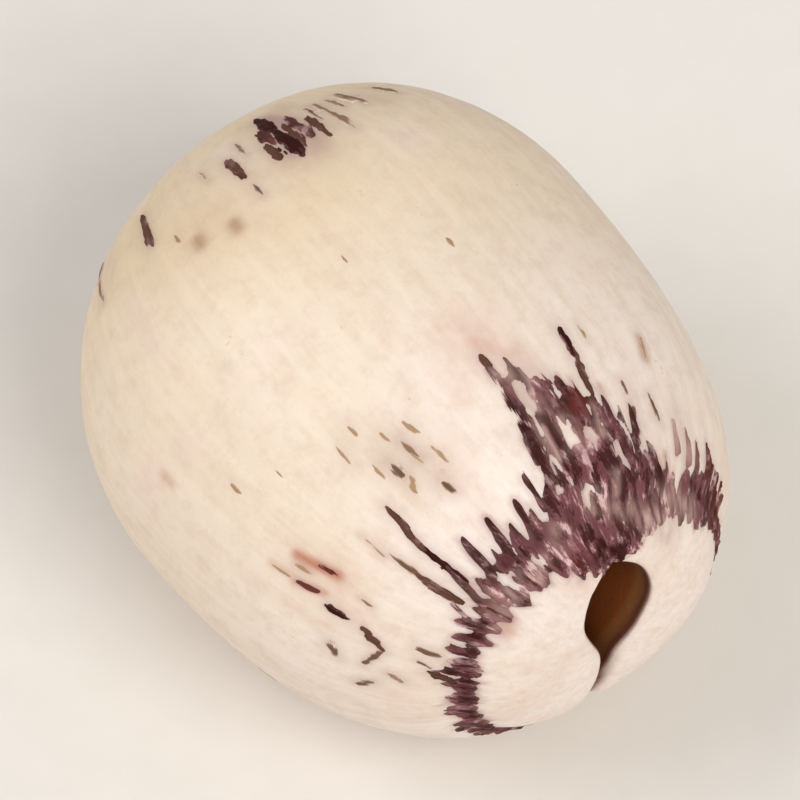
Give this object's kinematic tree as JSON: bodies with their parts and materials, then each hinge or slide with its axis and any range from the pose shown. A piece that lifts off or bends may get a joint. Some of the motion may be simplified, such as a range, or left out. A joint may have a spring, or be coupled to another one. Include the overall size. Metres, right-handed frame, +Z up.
{
  "type": "lotus seed",
  "caption": "Dried lotus seed lying on its side: a pale barrel-shaped kernel cored from end to end, with a ragged collar of brown seed coat round its tip.",
  "frame": {"origin": "the middle of the bounding box's base, on the surface that the seed lies on", "axes": "+X along the seed's length towards its tip with the mouth, +Z up"},
  "size_m": [0.0142, 0.012, 0.0117],
  "materials": {
    "kernel": "dry starchy seed flesh, satin, cream",
    "seed_coat": "dry papery seed coat, matte, purple-brown"
  },
  "bodies": {
    "root": {"kernel": "kernel", "seed_coat": "seed_coat"}
  },
  "joints": []
}
